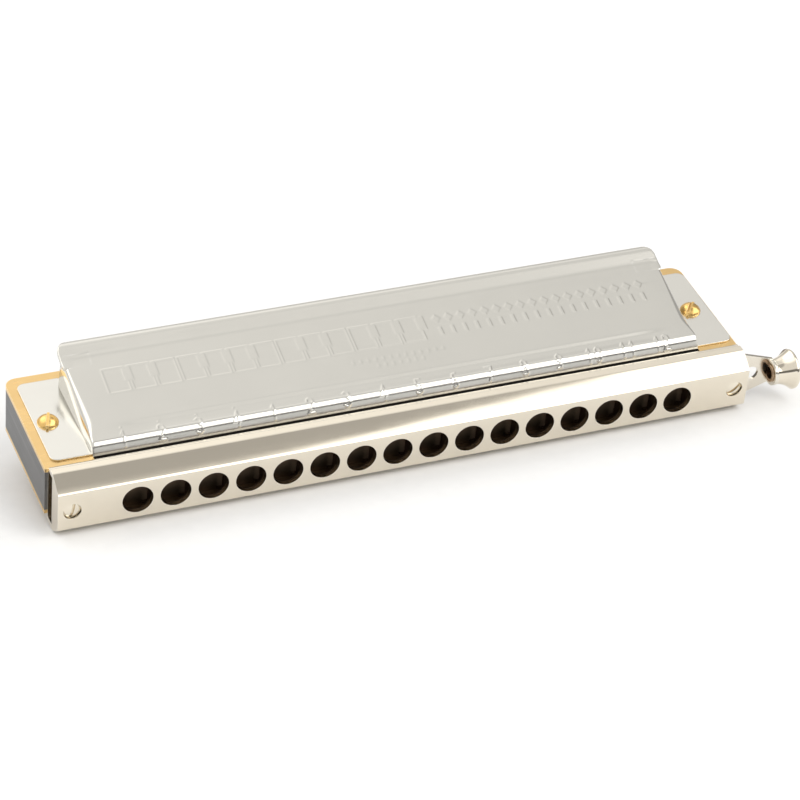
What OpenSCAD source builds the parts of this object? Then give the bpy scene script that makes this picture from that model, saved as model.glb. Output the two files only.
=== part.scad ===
// Sixteen-hole chromatic harmonica with a sprung slide.
// X runs along the length towards the button, Y from the mouth side to the back, Z up.
// The origin is the centre of the mouthpiece's front face.

/* [Layout] */
// Number of blow holes
holes = 16; // [10:2:16]
// Distance from one hole to the next
hole_pitch = 9.5; // [9.3:0.1:9.6]
// Radius of a blow hole
hole_r = 3.85; // [3:0.05:4]
// How far the slide travels when the button is pressed
slide_travel = 4.75; // [4:0.05:4.8]

/* [Mouthpiece] */
// Length of the mouthpiece
mouth_len = 182; // [180:0.5:184]
// Height of the flat front face
mouth_face_h = 10.9; // [10:0.1:12]
// Height over the two lips
mouth_lip_h = 16.9; // [16.8:0.1:17.6]
// Depth of the front face to the back edge of the lips
mouth_depth = 6.8; // [6.2:0.1:7.5]
// Thickness of the front wall around each hole
mouth_wall = 1.8; // [1.2:0.1:2.5]

/* [Slide] */
// Thickness of the slide
slide_t = 0.9; // [0.6:0.1:1]
// Height of the slide
slide_h = 12.4; // [11.5:0.1:13]
// Height of the tab where it meets the button
tab_end_h = 6.8; // [6.4:0.1:9]
// Length of the button
button_len = 5.9; // [5.2:0.1:8]
// Radius of the button's rim
button_r = 5.2; // [4.6:0.1:6.5]

/* [Comb and plates] */
// Length of the comb and the reed plates
plate_len = 183.2; // [182:0.2:190]
// Thickness of the comb
comb_h = 11.45; // [10:0.05:12]
// Thickness of a reed plate
plate_t = 1.05; // [0.9:0.05:1.1]
// Depth of the comb and plates
plate_depth = 35.75; // [34:0.25:40]
// Tongue length of the lowest reed
reed_long = 17.5; // [15:0.5:18]
// Tongue length of the highest reed
reed_short = 8; // [6:0.5:12]

/* [Covers] */
// Length of a cover over its flanges
cover_len = 180.6; // [178:0.2:181]
// Length of the raised part of a cover
dome_len = 159.7; // [156:0.1:161]
// Height of a cover's back ridge above the reed plate
dome_h = 10.3; // [9.5:0.1:12]
// Sheet thickness of a cover
cover_t = 0.5; // [0.4:0.05:0.7]
// How far the covers sit towards the button
cover_shift = 0.9; // [0:0.1:1]

/* [Hidden] */
$fn = 64;

// Overshoot that lets a cut pass clean through a face
eps = 0.1;
// Assembly gap beside the slide
play = 0.05;

// Mouthpiece and slide stack, front to back
slide_y0 = 4.95;
slide_y1 = slide_y0 + slide_t;
mouth_land = slide_y0 - play;
bed_y0 = slide_y1 + play;
channel_t = 0.8;
comb_y0 = 8.95;
channel_y0 = comb_y0 - channel_t;
bed_y1 = channel_y0;
channel_half_h = 7.9;
channel_corner_r = 1.5;
bed_half_h = 6.4;
bed_len = 176;
bevel_y = 4.7;
bevel_bulge = 0.2;
bevel_steps = 14;
edge_steps = 5;
face_edge_r = 0.45;
lip_drop = 0.05;
cell_w = 7.9;
cell_h = 11;

// Windows in the slide stack
window_w = 4.3;
window_z0 = 0.6;
window_z1 = 5.4;

// Mouthpiece screws and their sleeves
mouth_screw_x = 87.4;
screw_r = 1.15;
screw_hole_r = 1.25;
pilot_r = 1.2;
mouth_head_r = 2.25;
mouth_head_h = 1.6;
mouth_pilot_end = 17;
mouth_screw_end = 16;
mouth_head_sink = 0.1;
mouth_head_gap = 0.2;
// Slot directions of the two mouthpiece screws, from upright
mouth_screws = [[-mouth_screw_x, 15], [mouth_screw_x, 53]];
screw_slot_w = 0.7;
screw_slot_d = 1;
sleeve_r = 1.85;
sleeve_gap = 0.03;

// Slide outline
guide_r = 2.1;
stop_gap = guide_r - sleeve_r;
slide_left = -86;
tab_x0 = 92.3;
tab_x1 = 100.5;
fold_t = 0.9;
guide_x0 = mouth_screw_x + stop_gap;
guide_x1 = 94.5;
notch_x = -mouth_screw_x - stop_gap + slide_travel;

// Button and rivet
button_y = 4;
button_x0 = tab_x1;
button_neck_r = 3.3;
// Share of the button's length taken by its flare
button_flare_share = 0.76;
button_rim_x = button_x0 + button_flare_share * button_len;
button_rim_r = 0.55;
button_flare_power = 2.2;
button_steps = 14;
button_crown = 0.5;
crown_steps = 6;
rivet_r = 2;
rivet_bore_r = 1.65;
rivet_head_r = 2.45;
rivet_head_t = 0.35;
rivet_x0 = tab_x1 - fold_t - rivet_head_t;
rivet_end = button_x0 + 4;
rivet_relief = 0.1;
rivet_cap_t = 1;

// Spring: coil on a vertical stem, leg through a hole in the slide
spring_x = -80.6;
spring_y = 17;
wire_r = 0.4;
coil_r = 1.5;
coil_pitch = 0.72;
stem_top = 4.6;
stem_hole_r = 0.45;
stem_hole_top = 4.8;
slide_mid_y = (slide_y0 + slide_y1) / 2;
spring_arm = spring_y - slide_mid_y;
spring_swing = atan(slide_travel / 2 / spring_arm);
spring_tip = spring_arm + 0.35;
wire_fn = 24;
spring_hole_r = 0.6;
spring_hole_x = spring_x + slide_travel / 2;
spring_window_w = 6.2;
spring_window_h = 2.4;
spring_pocket_h = 4.2;
spring_pocket_y1 = 19.6;

// Comb cells and reeds
plate_z0 = comb_h / 2;
plate_z1 = plate_z0 + plate_t;
plate_y1 = comb_y0 + plate_depth;
plate_corner_r = 3;
half_pitch = hole_pitch / 2;
cell_gap = 1.15;
chamber_w = half_pitch - cell_gap;
vestibule_y1 = 11.5;
mid_wall = 0.5;
vestibule_z1 = 4.7;
slot_y0 = 16;
slot_w = 2.2;
tongue_w = 2;
tongue_t = 0.12;
tongue_lift = 0.075;
tongue_tip_gap = 0.15;
pad_w = 2.6;
pad_t = 0.35;
pad_len = 3.2;
pad_gap = 0.2;
rivet_pin_r = 0.55;
reed_rivet_head_r = 0.95;
reed_rivet_head_t = 0.22;
valve_w = 2.6;
valve_t = 0.15;
valve_over = 0.7;
chamber_tail = 4.1;

// Plate screws
plate_screw_r = 0.9;
plate_screw_hole_r = 0.95;
plate_screw_head_r = 1.5;
plate_screw_head_t = 0.7;
plate_screw_len = 3.2;
plate_screw_hole_len = 3.4;
plate_screw_back_y = 41.3;
plate_screw_x = [-72, -36, 0, 36, 72];
plate_screw_end_x = 76.6;
plate_screw_end_y = 13.6;

// Covers
flange_y0 = 10.9;
flange_y1 = 41.5;
flange_r = 2;
cover_screw_x = 86;
cover_screw_y = 25.3;
cover_hole_r = 2;
cover_head_r = 2.65;
cover_head_h = 2;
cover_screw_end = 0.8;
// Slot directions of the two cover screws, from the Y axis
cover_screws = [[-cover_screw_x, -19], [cover_screw_x, -42]];
end_wall_y1 = 38.5;
wall_foot_y = 10.25;
wall_top = [11.3, 2.1];
edge_top = [12.06, 3.05];
crease = [16, 4];
band_front = [24.5, 6];
band_back = [33, 7.95];
valley = [37.1, 8.8];
hood_r = 3;
hood_y = 41.45;
hood_z = dome_h - hood_r;
hood_start = 112;
hood_end = -40;
hood_steps = 16;
// How far, in degrees, the hood's end cap closes in below the sheet's two edges
hood_cap_gap = 12;

function hole_x(i) = (i - (holes - 1) / 2) * hole_pitch;
function reed_len(i) = reed_long + (reed_short - reed_long) * i / (holes - 1);
function blow_x(i) = hole_x(i) - half_pitch / 2;
function draw_x(i) = hole_x(i) + half_pitch / 2;

// Arc of points about a centre, from one angle to another
function arc(c, r, a0, a1, n) =
    [for (k = [0:n]) let (a = a0 + (a1 - a0) * k / n) [c[0] + r * cos(a), c[1] + r * sin(a)]];

// The same path moved sideways by t, to the left of its direction
function heading(p, k) =
    let (a = p[max(k - 1, 0)], b = p[min(k + 1, len(p) - 1)]) (b - a) / norm(b - a);
function beside(p, t) =
    [for (k = [0:len(p) - 1]) let (d = heading(p, k)) [p[k][0] - t * d[1], p[k][1] + t * d[0]]];
function reversed(p) = [for (k = [len(p) - 1:-1:0]) p[k]];

// Stands a (Y, Z) outline up and runs it along X, centred
module along_x(length) {
    translate([-length / 2, 0, 0])
        rotate([90, 0, 90])
            linear_extrude(height = length) children();
}

// Cylinder along +Y from y0 to y1
module rod_y(x, z, r, y0, y1) {
    translate([x, y0, z]) rotate([-90, 0, 0]) cylinder(r = r, h = y1 - y0);
}

// Cylinder along +Z from z0 to z1
module rod_z(x, y, r, z0, z1) {
    translate([x, y, z0]) cylinder(r = r, h = z1 - z0);
}

// Cylinder along +X from x0 to x1, centred on the plane z = 0
module rod_x(y, r, x0, x1) {
    translate([x0, y, 0]) rotate([0, 90, 0]) cylinder(r = r, h = x1 - x0);
}

module box(x0, x1, y0, y1, z0, z1) {
    translate([x0, y0, z0]) cube([x1 - x0, y1 - y0, z1 - z0]);
}

module both_sides() {
    children();
    mirror([0, 0, 1]) children();
}

module both_ends() {
    children();
    mirror([1, 0, 0]) children();
}

// ---- Mouthpiece ----

// Upper half of the outline, (Y, Z): rounded front edge, slightly domed bevel, flat lip
bevel_start = [face_edge_r * 0.4, mouth_face_h / 2];
bevel_end = [bevel_y, mouth_lip_h / 2];
function bevel_point(t) =
    bevel_start + (bevel_end - bevel_start) * t + [0, bevel_bulge * 4 * t * (1 - t)];
upper_bevel = concat(
    arc([face_edge_r, bevel_start[1] - face_edge_r], face_edge_r, 180, 130, edge_steps),
    [for (k = [1:bevel_steps]) bevel_point(k / bevel_steps)],
    [[mouth_depth, bevel_end[1] - lip_drop]]);

module mouth_profile() {
    polygon(concat(upper_bevel, reversed([for (p = upper_bevel) [p[0], -p[1]]])));
}

module mouth_screw_hole() {
    rod_y(mouth_screw_x, 0, screw_hole_r, -eps, mouth_land + eps);
    translate([mouth_screw_x, -eps, 0]) rotate([-90, 0, 0])
        cylinder(r = mouth_head_r, h = mouth_head_h + eps);
}

module mouthpiece() {
    color([0.82, 0.78, 0.70]) difference() {
        along_x(mouth_len) mouth_profile();
        box(-mouth_len, mouth_len, mouth_land, mouth_depth + eps, -channel_half_h, channel_half_h);
        for (i = [0:holes - 1]) {
            rod_y(hole_x(i), 0, hole_r, -eps, mouth_wall + eps);
            box(hole_x(i) - cell_w / 2, hole_x(i) + cell_w / 2,
                mouth_wall, mouth_land + eps, -cell_h / 2, cell_h / 2);
        }
        both_ends() mouth_screw_hole();
    }
}

module mouthpiece_screws() {
    color([0.80, 0.76, 0.68]) for (s = mouth_screws) difference() {
        union() {
            rod_y(s[0], 0, mouth_head_r - mouth_head_gap, mouth_head_sink, mouth_head_h);
            rod_y(s[0], 0, screw_r, mouth_head_sink, mouth_screw_end);
        }
        translate([s[0], 0, 0]) rotate([0, s[1], 0])
            box(-screw_slot_w / 2, screw_slot_w / 2, 0, screw_slot_d, -mouth_head_r, mouth_head_r);
    }
}

// ---- Slide stack ----

// Windows over the comb cells, upper and lower
module fixed_windows(y0, y1) {
    both_sides() for (i = [0:holes - 1])
        box(hole_x(i) - window_w / 2, hole_x(i) + window_w / 2, y0, y1, window_z0, window_z1);
}

// Opening that the spring's leg swings in
module spring_window(y0, y1) {
    box(spring_x - spring_window_w / 2, spring_x + spring_window_w / 2, y0, y1,
        -spring_window_h / 2, spring_window_h / 2);
}

module channel_profile() {
    o = channel_half_h;
    r = channel_corner_r;
    ri = channel_corner_r - channel_t;
    outer = concat([[slide_y0, -o]], arc([comb_y0 - r, r - o], r, -90, 0, 8),
        arc([comb_y0 - r, o - r], r, 0, 90, 8), [[slide_y0, o]]);
    inner = concat([[slide_y0, o - channel_t]], arc([comb_y0 - r, o - r], ri, 90, 0, 8),
        arc([comb_y0 - r, r - o], ri, 0, -90, 8), [[slide_y0, channel_t - o]]);
    polygon(concat(outer, inner));
}

module slide_channel() {
    color([0.80, 0.77, 0.71]) difference() {
        along_x(mouth_len) channel_profile();
        fixed_windows(channel_y0 - eps, comb_y0 + eps);
        spring_window(channel_y0 - eps, comb_y0 + eps);
        both_ends() rod_y(mouth_screw_x, 0, screw_hole_r, channel_y0 - eps, comb_y0 + eps);
    }
}

module slide_bed_plate() {
    color([0.55, 0.52, 0.47]) difference() {
        box(-bed_len / 2, bed_len / 2, bed_y0, bed_y1, -bed_half_h, bed_half_h);
        fixed_windows(bed_y0 - eps, bed_y1 + eps);
        spring_window(bed_y0 - eps, bed_y1 + eps);
        both_ends() rod_y(mouth_screw_x, 0, screw_hole_r, bed_y0 - eps, bed_y1 + eps);
    }
}

module slide_blank() {
    translate([0, slide_y1, 0]) rotate([90, 0, 0]) linear_extrude(height = slide_t)
        polygon([[slide_left, -slide_h / 2], [tab_x0, -slide_h / 2], [tab_x1, -tab_end_h / 2],
            [tab_x1, tab_end_h / 2], [tab_x0, slide_h / 2], [slide_left, slide_h / 2]]);
}

// Forward-folded end that carries the button
module slide_fold() {
    intersection() {
        rod_x(button_y, tab_end_h / 2, tab_x1 - fold_t, tab_x1);
        box(0, tab_x1 + eps, -tab_end_h, slide_y1, -tab_end_h, tab_end_h);
    }
}

module slide() {
    color([0.80, 0.76, 0.70]) difference() {
        union() {
            slide_blank();
            slide_fold();
        }
        // Upper windows stand over the holes at rest, lower ones when the button is in
        for (i = [0:holes - 1]) {
            box(hole_x(i) - window_w / 2, hole_x(i) + window_w / 2,
                slide_y0 - eps, slide_y1 + eps, window_z0, window_z1);
            box(hole_x(i) + slide_travel - window_w / 2, hole_x(i) + slide_travel + window_w / 2,
                slide_y0 - eps, slide_y1 + eps, -window_z1, -window_z0);
        }
        rod_y(guide_x0, 0, guide_r, slide_y0 - eps, slide_y1 + eps);
        rod_y(guide_x1, 0, guide_r, slide_y0 - eps, slide_y1 + eps);
        box(guide_x0, guide_x1, slide_y0 - eps, slide_y1 + eps, -guide_r, guide_r);
        rod_y(notch_x, 0, guide_r, slide_y0 - eps, slide_y1 + eps);
        box(slide_left - eps, notch_x, slide_y0 - eps, slide_y1 + eps, -guide_r, guide_r);
        rod_y(spring_hole_x, 0, spring_hole_r, slide_y0 - eps, slide_y1 + eps);
        // Rivet hole in the fold, and room in the tab for the rivet's head
        rod_x(button_y, rivet_r, tab_x1 - fold_t - eps, tab_x1 + eps);
        rod_x(button_y, rivet_head_r + play, rivet_x0 - rivet_relief, tab_x1 - fold_t);
    }
}

module bumper_sleeves() {
    color([0.25, 0.24, 0.23]) both_ends() difference() {
        rod_y(mouth_screw_x, 0, sleeve_r, slide_y0 - play + sleeve_gap, slide_y1 + play - sleeve_gap);
        rod_y(mouth_screw_x, 0, pilot_r, slide_y0 - eps, slide_y1 + eps);
    }
}

// ---- Button ----

// Radius of the button's flare, from the neck (t = 0) to the rim (t = 1)
function flare_r(t) = button_neck_r + (button_r - button_neck_r) * pow(t, button_flare_power);

module button() {
    flare = [for (k = [0:button_steps]) let (t = k / button_steps)
        [flare_r(t), (button_rim_x - button_x0) * t]];
    crown_r = button_r - button_rim_r;
    rim = arc([crown_r, button_len - button_crown - button_rim_r], button_rim_r, 0, 85, 5);
    crown = [for (k = [0:crown_steps]) let (t = 1 - k / crown_steps)
        [crown_r * t, button_len - button_crown * pow(t, 2)]];
    color([0.82, 0.79, 0.70]) translate([button_x0, button_y, 0]) rotate([0, 90, 0]) difference() {
        rotate_extrude() polygon(concat([[0, 0]], flare, rim, crown));
        translate([0, 0, -eps]) cylinder(r = rivet_r, h = rivet_end - button_x0 + eps);
    }
}

module button_rivet() {
    color([0.55, 0.42, 0.28]) difference() {
        union() {
            rod_x(button_y, rivet_head_r, rivet_x0, rivet_x0 + rivet_head_t);
            rod_x(button_y, rivet_r, rivet_x0, rivet_end);
        }
        rod_x(button_y, rivet_bore_r, rivet_x0 - eps, rivet_end - rivet_cap_t);
    }
}

// ---- Spring ----

// Coil turns are closed rings. The stem stands on the pivot axis, so it stays put as the leg swings.
module slide_spring() {
    color([0.72, 0.72, 0.74]) translate([spring_x, spring_y, 0]) {
        for (k = [-1:1]) translate([0, 0, k * coil_pitch])
            rotate_extrude() translate([coil_r, 0]) circle(r = wire_r, $fn = wire_fn);
        translate([0, 0, coil_pitch]) rotate([0, 90, 0]) cylinder(r = wire_r, h = coil_r, $fn = wire_fn);
        translate([0, 0, coil_pitch]) cylinder(r = wire_r, h = stem_top - coil_pitch, $fn = wire_fn);
        rotate([0, 0, spring_swing]) rotate([90, 0, 0])
            translate([0, 0, coil_r]) cylinder(r = wire_r, h = spring_tip - coil_r, $fn = wire_fn);
    }
}

// ---- Comb ----

module rounded_slab(z0, z1) {
    r = plate_corner_r;
    x = plate_len / 2;
    translate([0, 0, z0]) linear_extrude(height = z1 - z0)
        polygon(concat([[-x, comb_y0], [x, comb_y0]], arc([x - r, plate_y1 - r], r, 0, 90, 10),
            arc([r - x, plate_y1 - r], r, 90, 180, 10)));
}

module comb_cells() {
    for (i = [0:holes - 1]) {
        box(blow_x(i) - chamber_w / 2, draw_x(i) + chamber_w / 2,
            comb_y0 - eps, vestibule_y1, mid_wall, vestibule_z1);
        for (x = [blow_x(i), draw_x(i)])
            box(x - chamber_w / 2, x + chamber_w / 2, vestibule_y1 - eps,
                slot_y0 + reed_len(i) + chamber_tail, mid_wall, plate_z0 + eps);
    }
}

module plate_screw_places() {
    for (x = plate_screw_x) translate([x, plate_screw_back_y, 0]) children();
    both_ends() translate([plate_screw_end_x, plate_screw_end_y, 0]) children();
}

module comb() {
    color([0.16, 0.16, 0.17]) difference() {
        rounded_slab(-plate_z0, plate_z0);
        both_sides() {
            comb_cells();
            plate_screw_places() rod_z(0, 0, plate_screw_hole_r, plate_z0 - plate_screw_hole_len, plate_z0 + eps);
        }
        both_ends() {
            rod_y(mouth_screw_x, 0, pilot_r, comb_y0 - eps, mouth_pilot_end);
            rod_z(cover_screw_x, cover_screw_y, pilot_r, -plate_z0 - eps, plate_z0 + eps);
        }
        box(spring_x - spring_window_w / 2, spring_x + spring_window_w / 2,
            comb_y0 - eps, spring_pocket_y1, -spring_pocket_h / 2, spring_pocket_h / 2);
        rod_z(spring_x, spring_y, stem_hole_r, 0, stem_hole_top);
    }
}

// ---- Reed plates, reeds, rivets and valves: all drawn for the upper side ----

function draw_rivet_y() = slot_y0 - pad_gap - pad_len / 2;
function blow_rivet_y(i) = slot_y0 + reed_len(i) + pad_gap + pad_len / 2;

module plate_upper() {
    difference() {
        rounded_slab(plate_z0, plate_z1);
        for (i = [0:holes - 1]) {
            for (x = [blow_x(i), draw_x(i)])
                box(x - slot_w / 2, x + slot_w / 2, slot_y0, slot_y0 + reed_len(i),
                    plate_z0 - eps, plate_z1 + eps);
            rod_z(draw_x(i), draw_rivet_y(), rivet_pin_r, plate_z0 - eps, plate_z1 + eps);
            rod_z(blow_x(i), blow_rivet_y(i), rivet_pin_r, plate_z0 - eps, plate_z1 + eps);
        }
        plate_screw_places() rod_z(0, 0, plate_screw_hole_r, plate_z0 - eps, plate_z1 + eps);
        both_ends() rod_z(cover_screw_x, cover_screw_y, screw_hole_r, plate_z0 - eps, plate_z1 + eps);
    }
}

// One reed with its root pad towards -Y, lying on the plane z = 0
module reed(i) {
    difference() {
        union() {
            box(-pad_w / 2, pad_w / 2, slot_y0 - pad_gap - pad_len, slot_y0 - pad_gap, 0, pad_t);
            box(-tongue_w / 2, tongue_w / 2, slot_y0 - pad_gap - pad_len / 3,
                slot_y0 + reed_len(i) - tongue_tip_gap, tongue_lift, tongue_lift + tongue_t);
        }
        rod_z(0, draw_rivet_y(), rivet_pin_r, -eps, pad_t + eps);
    }
}

module draw_reeds_upper() {
    for (i = [0:holes - 1]) translate([draw_x(i), 0, plate_z1]) reed(i);
}

// Blow reeds hang inside the cells, root pad at the back
module blow_reeds_upper() {
    for (i = [0:holes - 1])
        translate([blow_x(i), 2 * slot_y0 + reed_len(i), plate_z0])
            mirror([0, 1, 0]) mirror([0, 0, 1]) reed(i);
}

module reed_rivet(z0, z1) {
    rod_z(0, 0, rivet_pin_r, z0, z1);
    rod_z(0, 0, reed_rivet_head_r, z0 - reed_rivet_head_t, z0);
    rod_z(0, 0, reed_rivet_head_r, z1, z1 + reed_rivet_head_t);
}

module rivets_upper() {
    for (i = [0:holes - 1]) {
        translate([draw_x(i), draw_rivet_y(), 0]) reed_rivet(plate_z0, plate_z1 + pad_t);
        translate([blow_x(i), blow_rivet_y(i), 0]) reed_rivet(plate_z0 - pad_t, plate_z1);
    }
}

module valves_upper() {
    for (i = [0:holes - 1]) {
        box(draw_x(i) - valve_w / 2, draw_x(i) + valve_w / 2, slot_y0 - valve_over,
            slot_y0 + reed_len(i) + valve_over, plate_z0 - valve_t, plate_z0);
        box(blow_x(i) - valve_w / 2, blow_x(i) + valve_w / 2, slot_y0 - valve_over,
            slot_y0 + reed_len(i) + valve_over, plate_z1, plate_z1 + valve_t);
    }
}

module plate_screws_upper() {
    plate_screw_places() {
        rod_z(0, 0, plate_screw_r, plate_z0 - plate_screw_len, plate_z1);
        rod_z(0, 0, plate_screw_head_r, plate_z1, plate_z1 + plate_screw_head_t);
    }
}

brass = [0.90, 0.66, 0.30];
steel = [0.78, 0.78, 0.80];

module upper_reed_plate() { color(brass) plate_upper(); }
module lower_reed_plate() { color(brass) mirror([0, 0, 1]) plate_upper(); }
module upper_blow_reeds() { color(brass) blow_reeds_upper(); }
module lower_blow_reeds() { color(brass) mirror([0, 0, 1]) blow_reeds_upper(); }
module upper_draw_reeds() { color(brass) draw_reeds_upper(); }
module lower_draw_reeds() { color(brass) mirror([0, 0, 1]) draw_reeds_upper(); }
module upper_reed_rivets() { color(steel) rivets_upper(); }
module lower_reed_rivets() { color(steel) mirror([0, 0, 1]) rivets_upper(); }
module upper_valves() { color([0.93, 0.92, 0.88]) valves_upper(); }
module lower_valves() { color([0.93, 0.92, 0.88]) mirror([0, 0, 1]) valves_upper(); }
module upper_plate_screws() { color(brass) plate_screws_upper(); }
module lower_plate_screws() { color(brass) mirror([0, 0, 1]) plate_screws_upper(); }

// ---- Covers ----

// Outer line of the raised part, (Y, height above the plate), front to back
dome_path = concat([[wall_foot_y, 0], wall_top, edge_top, crease, band_front, band_back, valley],
    arc([hood_y, hood_z], hood_r, hood_start, hood_end, hood_steps));

// Inner line of the sheet, its first point down on the plate as well
dome_inner = let (p = beside(dome_path, -cover_t))
    concat([[p[0][0], 0]], [for (k = [1:len(p) - 1]) p[k]]);

module dome_shell() {
    along_x(dome_len) polygon(concat(dome_path, reversed(dome_inner)));
}

// End plates close the raised part but leave the space under the hood open
module dome_end() {
    front = [for (p = dome_path) if (p[0] < end_wall_y1) p];
    translate([dome_len / 2 - cover_t, 0, 0]) rotate([90, 0, 90]) linear_extrude(height = cover_t)
        polygon(concat(front, [[end_wall_y1, hood_z], [end_wall_y1, 0]]));
}

// Cap of the hood: the hood's own line, then round below inside the sheet's thickness
hood_cap = concat(
    arc([hood_y, hood_z], hood_r, hood_start, hood_end, hood_steps),
    arc([hood_y, hood_z], hood_r - cover_t, hood_end - hood_cap_gap, hood_start + hood_cap_gap - 360, hood_steps));

module hood_end() {
    translate([dome_len / 2 - cover_t, 0, 0]) rotate([90, 0, 90])
        linear_extrude(height = cover_t) polygon(hood_cap);
}

module cover_flange() {
    x1 = cover_len / 2;
    r = flange_r;
    linear_extrude(height = cover_t)
        polygon(concat([[dome_len / 2 - cover_t, flange_y0]],
            arc([x1 - r, flange_y0 + r], r, -90, 0, 8), arc([x1 - r, flange_y1 - r], r, 0, 90, 8),
            [[dome_len / 2 - cover_t, flange_y1]]));
}

module cover_upper() {
    translate([cover_shift, 0, plate_z1]) difference() {
        union() {
            dome_shell();
            both_ends() {
                dome_end();
                hood_end();
                cover_flange();
            }
        }
        for (x = [-cover_screw_x, cover_screw_x])
            rod_z(x - cover_shift, cover_screw_y, cover_hole_r, -eps, cover_t + eps);
    }
}

module upper_cover() { color([0.80, 0.80, 0.79]) cover_upper(); }
module lower_cover() { color([0.80, 0.80, 0.79]) mirror([0, 0, 1]) cover_upper(); }

// Slotted round-head screw standing on the cover flange
module cover_screw() {
    seat = plate_z1 + cover_t;
    ball_r = (pow(cover_head_r, 2) + pow(cover_head_h, 2)) / (2 * cover_head_h);
    half_angle = asin(cover_head_r / ball_r);
    head = arc([0, seat + cover_head_h - ball_r], ball_r, 90 - half_angle, 90, 10);
    difference() {
        union() {
            rotate_extrude() polygon(concat([[0, seat]], head));
            rod_z(0, 0, screw_r, cover_screw_end, seat + eps);
        }
        box(-screw_slot_w / 2, screw_slot_w / 2, -cover_head_r, cover_head_r,
            seat + cover_head_h - screw_slot_d, seat + cover_head_h + eps);
    }
}

module cover_screws_upper() {
    for (s = cover_screws)
        translate([s[0], cover_screw_y, 0]) rotate([0, 0, s[1]]) cover_screw();
}

module upper_cover_screws() { color([0.85, 0.60, 0.22]) cover_screws_upper(); }
module lower_cover_screws() { color([0.85, 0.60, 0.22]) mirror([0, 0, 1]) cover_screws_upper(); }

mouthpiece();
slide_channel();
slide_bed_plate();
slide();
button();
button_rivet();
slide_spring();
bumper_sleeves();
mouthpiece_screws();
comb();
upper_reed_plate();
lower_reed_plate();
upper_blow_reeds();
upper_draw_reeds();
lower_blow_reeds();
lower_draw_reeds();
upper_reed_rivets();
lower_reed_rivets();
upper_valves();
lower_valves();
upper_plate_screws();
lower_plate_screws();
upper_cover();
lower_cover();
upper_cover_screws();
lower_cover_screws();
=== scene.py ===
import math

import bmesh
import bpy
import numpy as np
from mathutils import Matrix, Vector


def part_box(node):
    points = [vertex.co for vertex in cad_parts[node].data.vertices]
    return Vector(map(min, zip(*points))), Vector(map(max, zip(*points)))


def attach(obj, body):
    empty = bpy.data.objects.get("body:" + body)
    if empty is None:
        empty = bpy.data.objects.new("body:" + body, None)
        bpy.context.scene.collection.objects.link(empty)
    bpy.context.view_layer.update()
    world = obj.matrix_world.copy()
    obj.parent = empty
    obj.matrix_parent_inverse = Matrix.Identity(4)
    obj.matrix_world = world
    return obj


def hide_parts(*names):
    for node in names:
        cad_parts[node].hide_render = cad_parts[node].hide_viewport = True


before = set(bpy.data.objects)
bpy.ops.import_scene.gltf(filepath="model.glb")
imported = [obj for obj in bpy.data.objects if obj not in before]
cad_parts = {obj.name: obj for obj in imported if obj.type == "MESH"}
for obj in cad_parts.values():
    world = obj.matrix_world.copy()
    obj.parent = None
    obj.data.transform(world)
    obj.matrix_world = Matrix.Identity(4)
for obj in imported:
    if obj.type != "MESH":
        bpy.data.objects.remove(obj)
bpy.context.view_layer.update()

# Lengths below are millimetres. X runs to the button, Y from the mouth to the back, Z up.
MM = 0.001
HOLES = 16
PITCH = 9.5


def mm_box(node):
    """Lowest and highest corner of a CAD node in millimetres."""
    lo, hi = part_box(node)
    return lo / MM, hi / MM


def hole_x(i):
    """X of the middle of hole i, counted from the left."""
    return (i - (HOLES - 1) / 2) * PITCH


# ---------------------------------------------------------------- curves and meshes


def smooth(t):
    t = np.clip(t, 0.0, 1.0)
    return t * t * (3 - 2 * t)


def arc(centre, radius, start, end, count):
    """Points on a circle from one angle to another, in degrees."""
    a = np.radians(np.linspace(start, end, count + 1))
    return np.stack([centre[0] + radius * np.cos(a), centre[1] + radius * np.sin(a)], 1)


def rounded(points, radii, steps=6):
    """An open line whose inner corners are replaced by short curves that start radii[k] before corner k."""
    points = [np.array(p, float) for p in points]
    out = [points[0]]
    for k in range(1, len(points) - 1):
        corner = points[k]
        before, after = points[k - 1] - corner, points[k + 1] - corner
        reach = min(radii[k - 1], 0.49 * np.linalg.norm(before), 0.49 * np.linalg.norm(after))
        if reach < 1e-4:
            out.append(corner)
            continue
        p0 = corner + before / np.linalg.norm(before) * reach
        p2 = corner + after / np.linalg.norm(after) * reach
        for t in np.linspace(0, 1, steps + 1):
            out.append((1 - t) ** 2 * p0 + 2 * t * (1 - t) * corner + t * t * p2)
    out.append(points[-1])
    return np.array(out)


def lengths(line):
    """Distance along a line at each of its points."""
    step = np.linalg.norm(np.diff(line, axis=0), axis=1)
    return np.concatenate([[0], np.cumsum(step)])


def resample(line, at):
    along = lengths(line)
    return np.stack([np.interp(at, along, line[:, k]) for k in range(line.shape[1])], 1)


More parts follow.
